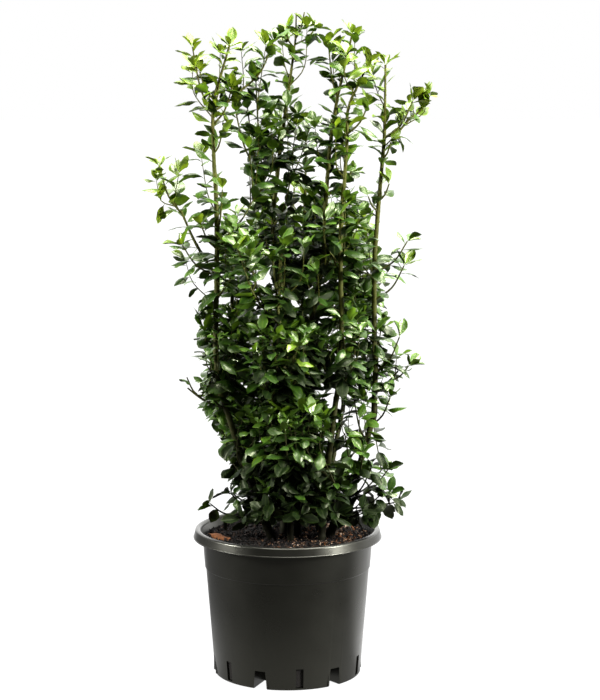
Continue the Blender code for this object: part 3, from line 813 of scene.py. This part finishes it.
    def twig(self, start, foot, top):
        """A twig from a limb out to a place and then up, with its leaves."""
        path = smooth_path((start, foot.lerp(top, 0.15) + self.wobble(0.003), top), 0.010)
        beside = [point + Vector((side, 0, 0)) for point in path for side in (-GAP_BESIDE, GAP_BESIDE)]
        if any(in_sky_gap(point) for point in path) or 3 * sum(in_sky_gap(point) for point in beside) > len(path):
            return
        self.wood(path, *TWIG_RADII)
        self.shoot(path, 0.012, LEAF_SPACING)
        self.tip(path[-1], (path[-1] - path[-2]).normalized())

    def fill(self, mass, limbs):
        """Upright shoots all through a mass, each carried by the limb nearest to its foot."""
        rng = self.rng
        ground = math.pi * mass.half.x * mass.half.y
        count = max(2, round(ground / SHOOT_SPACING**2 * FULLNESS.get(mass.name, 1.0)))
        for i in range(count):
            ring = FILLED * math.sqrt((i + 0.5) / count)
            angle = TURN * i + rng.uniform(-0.3, 0.3)
            across = Vector((ring * math.cos(angle) * mass.half.x, ring * math.sin(angle) * mass.half.y, 0.0))
            rise = mass.half.z * math.sqrt(1 - ring * ring)
            foot = mass.middle + FANNING * across - Vector((0, 0, rise * rng.uniform(0.6, 1.0)))
            top = mass.middle + across + Vector((0, 0, rise * rng.uniform(0.3, 0.85) - TIP_ROOM))
            best = None
            for path in limbs:
                for point in path:
                    away = foot - point
                    flat = math.hypot(away.x, away.y)
                    cost = flat + abs(away.z - 0.9 * flat)
                    if away.z > 0.3 * flat and (best is None or cost < best[0]):
                        best = (cost, point)
            if best and (foot - best[1]).length < LONGEST_TWIG:
                self.twig(best[1], foot, top)

    def fill_core(self, path):
        """Short side shoots all round a stem where it runs inside the crown."""
        rng = self.rng
        low, high = CORE_HEIGHTS
        height = low + rng.uniform(0, CORE_SPACING)
        angle = rng.uniform(0, 2 * math.pi)
        while height < high:
            start = min(path, key=lambda point: abs(point.z - height))
            out = Vector((math.cos(angle), math.sin(angle), 0.0)) * rng.uniform(*CORE_REACH)
            if self.outwardness(start + out) < CORE_OUTWARD:
                self.twig(start, start + 0.7 * out + Vector((0, 0, 0.008)), start + out + Vector((0, 0, CORE_RISE)))
            height += CORE_SPACING
            angle += TURN


def turned(name, profile, steps, collection):
    """A mesh turned round the Z axis from (radius, height) points."""
    mesh = bpy.data.meshes.new(name)
    points = [(radius, 0.0, height) for radius, height in profile]
    mesh.from_pydata(points, [(i, i + 1) for i in range(len(points) - 1)], [])
    made = bpy.data.objects.new(name, mesh)
    collection.objects.link(made)
    screw = made.modifiers.new("turn", "SCREW")
    screw.steps = steps
    screw.render_steps = steps
    screw.use_merge_vertices = True
    screw.merge_threshold = 0.000001
    return made


def wall_radius(height):
    """The pot's outer radius at a height, below its rim."""
    if height <= POT_STEP_HEIGHT:
        share = height / POT_STEP_HEIGHT
        return POT_FOOT_RADIUS + share * (POT_BODY_RADIUS - POT_FOOT_RADIUS)
    share = (height - POT_STEP_HEIGHT) / (COLLAR_TOP - POT_STEP_HEIGHT)
    return POT_COLLAR_FOOT_RADIUS + share * (POT_COLLAR_TOP_RADIUS - POT_COLLAR_FOOT_RADIUS)


def arc(centre, radius, first, last, count):
    """(radius, height) points on an arc between two angles in degrees."""
    made = []
    for i in range(count + 1):
        angle = math.radians(first + (last - first) * i / count)
        made.append((centre[0] + radius * math.cos(angle), centre[1] + radius * math.sin(angle)))
    return made


def held(profile):
    """The profile with a point just before and after each corner, so that the long faces stay straight."""
    made = []
    for i, point in enumerate(profile):
        around = []
        for other in (profile[max(i - 1, 0)], profile[min(i + 1, len(profile) - 1)]):
            length = math.dist(point, other)
            if length > 6 * CORNER_HOLD:
                share = CORNER_HOLD / length
                around.append(tuple(a + (b - a) * share for a, b in zip(point, other)))
            else:
                around.append(None)
        made += [each for each in (around[0], point, around[1]) if each]
    return made


def pot_profile():
    inside = [(0.0, POT_BASE)]
    for height in (POT_BASE, POT_STEP_HEIGHT, POT_STEP_HEIGHT + 0.0016, COLLAR_TOP):
        inside.append((wall_radius(height) - POT_WALL, height))
    rim = arc((RIM_INNER_RADIUS + RIM_ROUNDING, POT_HEIGHT - RIM_ROUNDING), RIM_ROUNDING, 180, 70, 8)
    lip = arc((BAND_RADIUS - LIP_ROUNDING, POT_HEIGHT - LIP_ROUNDING - 0.0004), LIP_ROUNDING, 78, 5, 7)
    bead = arc((RIM_RADIUS - BEAD_ROUNDING, COLLAR_TOP + BEAD_ROUNDING), BEAD_ROUNDING, 75, -90, 7)
    outside = [
        (RIM_RADIUS - 0.004, COLLAR_TOP),
        (RIM_RADIUS - 0.006, POT_HEIGHT - 0.007),
        (RIM_INNER_RADIUS + 0.003, POT_HEIGHT - 0.007),
        (POT_COLLAR_TOP_RADIUS, COLLAR_TOP),
    ]
    step = arc((POT_COLLAR_FOOT_RADIUS - STEP_ROUNDING, POT_STEP_HEIGHT + STEP_ROUNDING), STEP_ROUNDING, 0, -75, 5)
    foot = [
        (POT_BODY_RADIUS, POT_STEP_HEIGHT - 0.0004),
        (POT_FOOT_RADIUS, 0.0006),
        (POT_FOOT_RADIUS - 0.0006, 0.0),
        (0.0, 0.0),
    ]
    return held(inside + rim + lip + bead + outside + step + foot)


def radial_block(name, angle, reach, widths, heights, collection):
    """A block along a radius of the pot, given from inner to outer and from foot to top."""
    bpy.ops.mesh.primitive_cube_add(size=1.0)
    made = bpy.context.object
    made.name = name
    for vertex in made.data.vertices:
        raised = int(vertex.co.z > 0)
        outward = int(vertex.co.y < 0)
        vertex.co = (vertex.co.x * widths[raised], -reach[outward], heights[raised])
    made.rotation_euler.z = angle
    for old in list(made.users_collection):
        old.objects.unlink(made)
    collection.objects.link(made)
    return made


def radial_blocks(name, first, reach, widths, heights, collection):
    """The same block at each of the pot's drains."""
    turns = [first + 2 * math.pi * i / DRAIN_COUNT for i in range(DRAIN_COUNT)]
    return [
        radial_block(f"{name}_{i}", turn, reach, widths, heights, collection) for i, turn in enumerate(turns)
    ]


def channel_blocks(name, wall, collection):
    """The drain channels, thicker all round by a wall. With no wall they run out through the pot."""
    slope = (CHANNEL_WIDTHS[0] - CHANNEL_WIDTHS[1]) / CHANNEL_HEIGHT
    foot = POT_BASE / 2 if wall else -CUT_OVERRUN
    outer = wall_radius(CHANNEL_HEIGHT) - POT_WALL / 2 if wall else POT_FOOT_RADIUS + CUT_OVERRUN
    heights = (foot, CHANNEL_HEIGHT + wall)
    widths = [CHANNEL_WIDTHS[0] - slope * height + 2 * wall for height in heights]
    reach = (POT_FOOT_RADIUS - CHANNEL_LENGTH - wall, outer)
    return radial_blocks(name, CHANNEL_ANGLE, reach, widths, heights, collection)


def carve(made, steps):
    """Joins and cuts an object with blocks, makes that final and removes the blocks."""
    for operation, blocks in steps:
        for block in blocks:
            step = made.modifiers.new(block.name, "BOOLEAN")
            step.operation = operation
            step.solver = "EXACT"
            step.object = block
    bpy.context.view_layer.update()
    mesh = bpy.data.meshes.new_from_object(made.evaluated_get(bpy.context.evaluated_depsgraph_get()))
    made.modifiers.clear()
    made.data = mesh
    for _, blocks in steps:
        for block in blocks:
            bpy.data.objects.remove(block, do_unlink=True)
    mesh.shade_smooth()
    mesh.set_sharp_from_angle(angle=math.radians(35))


def make_pot(collection, material):
    pot = turned("pot_shell", pot_profile(), POT_STEPS, collection)
    pot.data.materials.append(material)
    slot_reach = (POT_FOOT_RADIUS - SLOT_DEPTH, POT_FOOT_RADIUS + CUT_OVERRUN)
    slot_heights = (POT_BASE, SLOT_HEIGHT)
    slots = radial_blocks("slot", SLOT_ANGLE, slot_reach, (SLOT_WIDTH, SLOT_WIDTH), slot_heights, collection)
    covers = channel_blocks("cover", POT_WALL, collection)
    channels = channel_blocks("channel", 0.0, collection)
    carve(pot, (("UNION", covers), ("DIFFERENCE", channels + slots)))
    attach(pot, "root")
    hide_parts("pot")


def make_soil(collection, materials):
    """A bed of potting mix with loose chips of bark on it."""
    rng = random.Random(SEED)
    edge = wall_radius(SOIL_TOP) - POT_WALL - SOIL_GAP
    bed_profile = [
        (0.0, SOIL_TOP - 0.001),
        (0.1, SOIL_TOP - 0.001),
        (edge, SOIL_TOP - 0.002),
        (POT_BODY_RADIUS - POT_WALL - SOIL_GAP, POT_STEP_HEIGHT),
        (wall_radius(POT_BASE) - POT_WALL - SOIL_GAP, POT_BASE + SOIL_GAP),
        (0.0, POT_BASE + SOIL_GAP),
    ]
    bed = turned("soil_bed", bed_profile, 96, collection)
    carve(bed, (("DIFFERENCE", channel_blocks("relief", POT_WALL + SOIL_GAP, collection)),))
    bed.data.materials.append(materials[0])
    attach(bed, "root")
    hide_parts("soil")
    pile = Pile("soil_chips", materials, ["soil"], "soil", collection)
    cube = bmesh.new()
    bmesh.ops.create_cube(cube, size=1.0)
    bmesh.ops.triangulate(cube, faces=cube.faces)
    corners = np.array([tuple(vertex.co) for vertex in cube.verts])
    faces = np.array([[vertex.index for vertex in face.verts] for face in cube.faces])
    cube.free()
    for _ in range(CHIP_COUNT):
        radius = (edge - 0.004) * math.sqrt(rng.random())
        angle = rng.uniform(0, 2 * math.pi)
        length = rng.uniform(*CHIP_LENGTHS) * rng.uniform(0.5, 1.0)
        size = np.array((length, length * rng.uniform(0.15, 0.50), length * rng.uniform(0.08, 0.25)))
        jitter = np.array([[rng.uniform(0.6, 1.2) for _ in range(3)] for _ in range(8)])
        turn = Matrix.Rotation(rng.uniform(0, 6.28), 3, "Z") @ Matrix.Rotation(rng.uniform(-0.9, 0.9), 3, "Y")
        points = (corners * jitter * size) @ np.array(turn).T
        height = SOIL_TOP + rng.uniform(-0.0015, 0.0025)
        points += np.array((radius * math.cos(angle), radius * math.sin(angle), height))
        # Painted shade on the left and painted light on the right: pale chips grow fewer to the left and more to
        # the right
        painted_light_right = min(1.0, max(0.0, 0.4 + radius * math.cos(angle) / 0.12))
        weights = [weight * (1.0 if i < 2 else 1.6 * painted_light_right) for i, weight in enumerate(CHIP_WEIGHTS)]
        kind = rng.choices(range(len(materials)), weights=weights)[0]
        pile.add(points, faces, np.full(len(faces), kind))
    chips = pile.made()
    chips.data.shade_flat()
    litter = Pile("dry_leaf", [materials[3]], ["soil"], "soil", collection)
    points, faces, _ = leaf_shape(math.radians(24), 0.3, 0.3, 2 * WAVE, FULL_ROWS, FULL_COLUMNS)
    way = Vector(DRY_LEAF_TIP) - Vector(DRY_LEAF_FOOT)
    ahead = way.normalized()
    across = Vector((0, 0, 1)).cross(ahead)
    turn = np.array((ahead, across, ahead.cross(across))) * way.length
    litter.add(points @ turn + np.array(DRY_LEAF_FOOT), faces, np.zeros(len(faces)))
    litter.made()


def lobe(tree, direction, low, high, strength, source):
    """The output of a soft-edged patch of light round a direction."""
    facing = tree.nodes.new("ShaderNodeVectorMath")
    facing.operation = "DOT_PRODUCT"
    facing.inputs[1].default_value = Vector(direction).normalized()
    tree.links.new(source, facing.inputs[0])
    patch = tree.nodes.new("ShaderNodeMapRange")
    patch.interpolation_type = "SMOOTHSTEP"
    patch.inputs["From Min"].default_value = low
    patch.inputs["From Max"].default_value = high
    patch.inputs["To Max"].default_value = strength
    tree.links.new(facing.outputs["Value"], patch.inputs["Value"])
    return patch.outputs["Result"]


def joined(tree, operation, first, second):
    """The output of a maths node on two outputs, or on an output and a number."""
    made = tree.nodes.new("ShaderNodeMath")
    made.operation = operation
    for socket, value in zip(made.inputs, (first, second)):
        if isinstance(value, (int, float)):
            socket.default_value = value
        else:
            tree.links.new(value, socket)
    return made.outputs["Value"]


def sky_brightness(tree):
    """Light round the object: dim in front, bright above, behind and at the sides."""
    place = tree.nodes.new("ShaderNodeTexCoord")
    total = AMBIENT
    for patch in SKY_LOBES:
        total = joined(tree, "ADD", lobe(tree, *patch, place.outputs["Generated"]), total)
    return total


def make_world():
    """A plain white surround to the camera, and the studio's soft light to everything else."""
    world = bpy.data.worlds.new("studio")
    bpy.context.scene.world = world
    world.use_nodes = True
    tree = world.node_tree
    shown = tree.nodes.new("ShaderNodeBackground")
    lit = tree.nodes["Background"]
    rays = tree.nodes.new("ShaderNodeLightPath")
    choice = tree.nodes.new("ShaderNodeMixShader")
    tree.links.new(sky_brightness(tree), lit.inputs["Strength"])
    lit.inputs["Color"].default_value = (1.0, 1.0, 1.0, 1.0)
    tree.links.new(rays.outputs["Is Camera Ray"], choice.inputs["Fac"])
    tree.links.new(lit.outputs["Background"], choice.inputs[1])
    tree.links.new(shown.outputs["Background"], choice.inputs[2])
    tree.links.new(choice.outputs["Shader"], tree.nodes["World Output"].inputs["Surface"])
    shown.inputs["Color"].default_value = (1.0, 1.0, 1.0, 1.0)


def floor_material():
    """White to the camera; to the object as bright as a lit studio floor is on each side of it."""
    white = surface_material("floor", (0.006, 0.006, 0.006), 0.9)
    tree = white.node_tree
    surface = tree.nodes["Principled BSDF"]
    surface.inputs["Emission Color"].default_value = (1.0, 1.0, 1.0, 1.0)
    place = tree.nodes.new("ShaderNodeTexCoord")
    away = tree.nodes.new("ShaderNodeVectorMath")
    away.operation = "NORMALIZE"
    tree.links.new(place.outputs["Object"], away.inputs[0])
    distance = tree.nodes.new("ShaderNodeVectorMath")
    distance.operation = "LENGTH"
    tree.links.new(place.outputs["Object"], distance.inputs[0])
    near = tree.nodes.new("ShaderNodeMapRange")
    near.interpolation_type = "SMOOTHSTEP"
    near.inputs["From Min"].default_value = 0.12
    near.inputs["From Max"].default_value = FLOOR_NEAR_REACH
    near.inputs["To Min"].default_value = FLOOR_NEAR
    near.inputs["To Max"].default_value = FLOOR_FAR
    tree.links.new(distance.outputs["Value"], near.inputs["Value"])
    lit = near.outputs["Result"]
    for patch in FLOOR_LOBES:
        lit = joined(tree, "ADD", lobe(tree, *patch, away.outputs["Vector"]), lit)
    rays = tree.nodes.new("ShaderNodeLightPath")
    to_camera = joined(tree, "MULTIPLY", rays.outputs["Is Camera Ray"], FLOOR_GLOW)
    to_object = joined(tree, "MULTIPLY", joined(tree, "SUBTRACT", 1.0, rays.outputs["Is Camera Ray"]), lit)
    tree.links.new(joined(tree, "ADD", to_camera, to_object), surface.inputs["Emission Strength"])
    return white


def studio():
    """A pale floor, soft lights and the camera."""
    bpy.ops.mesh.primitive_plane_add(size=60.0, location=(0, 0, -0.0005))
    floor = bpy.context.object
    floor.name = "floor"
    floor.data.materials.append(floor_material())
    make_world()
    for name, (place, aim, size, power) in LAMPS.items():
        light = bpy.data.lights.new(name, "AREA")
        light.energy = power
        light.size = size
        lamp = bpy.data.objects.new(name, light)
        bpy.context.scene.collection.objects.link(lamp)
        lamp.location = place
        lamp.rotation_euler = (Vector(aim) - Vector(place)).to_track_quat("-Z", "Y").to_euler()

    camera = bpy.data.objects.new("camera", bpy.data.cameras.new("camera"))
    bpy.context.scene.collection.objects.link(camera)
    camera.data.sensor_fit = "HORIZONTAL"
    camera.data.sensor_width = 36.0
    camera.data.lens = CAMERA_LENS
    camera.location = CAMERA_PLACE
    camera.rotation_euler = (CAMERA_PITCH, 0.0, 0.0)
    bpy.context.scene.camera = camera
    bpy.context.scene.view_settings.view_transform = "Standard"


def mottled(name, colour, roughness, gloss, tint, scale, *relief):
    """A material whose colour varies a little from place to place, with a fine relief."""
    made = surface_material(name, colour, roughness, Specular_IOR_Level=gloss, Specular_Tint=tint)
    tree = made.node_tree
    surface = tree.nodes["Principled BSDF"]
    place = tree.nodes.new("ShaderNodeTexCoord")
    mottle = tree.nodes.new("ShaderNodeTexNoise")
    mottle.inputs["Scale"].default_value = scale
    mottle.inputs["Detail"].default_value = 3.0
    shades = tree.nodes.new("ShaderNodeValToRGB")
    for end, position, share in zip(shades.color_ramp.elements, (0.30, 0.70), (0.68, 1.38)):
        end.position = position
        end.color = (*(min(1.0, share * part) for part in colour), 1.0)
    tree.links.new(place.outputs["Object"], mottle.inputs["Vector"])
    tree.links.new(mottle.outputs["Fac"], shades.inputs["Fac"])
    tree.links.new(shades.outputs["Color"], surface.inputs["Base Color"])
    return bumped(made, *relief)


def moulded_plastic():
    """Black plastic, a little warm, whose gloss is uneven with handling and dust."""
    made = surface_material("pot_plastic", POT_COLOUR, POT_ROUGHNESS[0], Specular_Tint=POT_SHEEN)
    tree = made.node_tree
    place = tree.nodes.new("ShaderNodeTexCoord")
    wear = tree.nodes.new("ShaderNodeTexNoise")
    wear.inputs["Scale"].default_value = POT_WEAR_SCALE
    wear.inputs["Detail"].default_value = 6.0
    gloss = tree.nodes.new("ShaderNodeMapRange")
    gloss.inputs["From Min"].default_value = 0.35
    gloss.inputs["From Max"].default_value = 0.70
    gloss.inputs["To Min"].default_value = POT_ROUGHNESS[0]
    gloss.inputs["To Max"].default_value = POT_ROUGHNESS[1]
    tree.links.new(place.outputs["Object"], wear.inputs["Vector"])
    tree.links.new(wear.outputs["Fac"], gloss.inputs["Value"])
    tree.links.new(gloss.outputs["Result"], tree.nodes["Principled BSDF"].inputs["Roughness"])
    return bumped(made, 900.0, 0.10, 0.0002)


def main():
    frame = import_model()
    cad_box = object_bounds()
    nodes = frame["nodes"]
    looks = new_collection("holly_looks")
    limb_names = [name for name in nodes if name.startswith(("stem_", "bough_"))]
    mass_names = [name for name in nodes if name.startswith("foliage_")]

    piles = {}
    for tone, (upper, lower, rib) in TONES.items():
        materials = [
            mottled(f"leaf_{tone}_upper", upper, *(PAINTED_SHADE_FINISH if tone == "painted_shade" else LEAF_FINISH)),
            mottled(f"leaf_{tone}_underside", lower, *UNDERSIDE_FINISH),
            mottled(f"leaf_{tone}_midrib", rib, *UNDERSIDE_FINISH),
        ]
        piles[tone] = Pile(f"leaves_{tone}", materials, mass_names, "leaf", looks)
    barks = [
        mottled(f"bark_{i}", colour, *BARK_FINISH) for i, colour in enumerate(BARK_COLOURS_AND_PAINTED_SHADE)
    ]
    woods = {
        "stem": Pile("stems", barks, limb_names, "bark", looks),
        "twig": Pile("twigs", barks, mass_names, "bark", looks),
    }

    limbs = {}
    for name in limb_names:
        centres, radii = centre_line(nodes[name])
        path = smooth_path(centres, BARK_STEP)
        spread = np.interp(np.linspace(0, 1, len(path)), np.linspace(0, 1, len(radii)), radii)
        limbs[name] = path[::2]
        points, faces = tube(path, list(spread), BARK_SIDES, bark=True)
        woods["stem"].add(points, faces, np.digitize(points[faces[:, 0], 2], BARK_HEIGHTS))
    bare_stems = [BareStem(limbs[name], stretches) for name, stretches in BARE_STRETCHES.items()]
    shrub = Shrub(cad_box, piles, woods, bare_stems)
    for name, (parent, height, tip) in FORKS.items():
        start = min(limbs[parent], key=lambda point: abs(point.z - height))
        path = rising_path(start, Vector(tip), 0.008)
        limbs[name] = path
        shrub.wood(path, 0.0017, 0.0010)
        if name in BARE_TIPPED:
            shrub.shoot(path[: len(path) // 2 + 1], 0.006, LEAF_SPACING)
            continue
        shrub.shoot(path, 0.010, LEAF_SPACING)
        shrub.tip(path[-1], (path[-1] - path[-2]).normalized())
    for name in mass_names:
        mass = Mass(nodes[name])
        near = [[p for p in path if (p - mass.middle).length < mass.half.length + 0.05] for path in limbs.values()]
        shrub.fill(mass, [path for path in near if path])
    for name in limb_names:
        if name.startswith("stem_"):
            shrub.fill_core(limbs[name])
    for name, path in limbs.items():
        leafy = [point for point in path if point.z > BARE_BELOW]
        if name.startswith(("stem_", "bough_")) and len(leafy) > 3:
            shrub.shoot(leafy, 0.0, STEM_LEAF_SPACING)
            if name.startswith("stem_") and name != "stem_centre":
                shrub.tip(leafy[-1], (leafy[-1] - leafy[-2]).normalized())
    for pile in list(piles.values()) + list(woods.values()):
        pile.made()

    make_pot(looks, moulded_plastic())
    make_soil(looks, [mottled(f"soil_{name}", colour, *SOIL_FINISH) for name, colour in SOIL_COLOURS.items()])
    studio()


main()
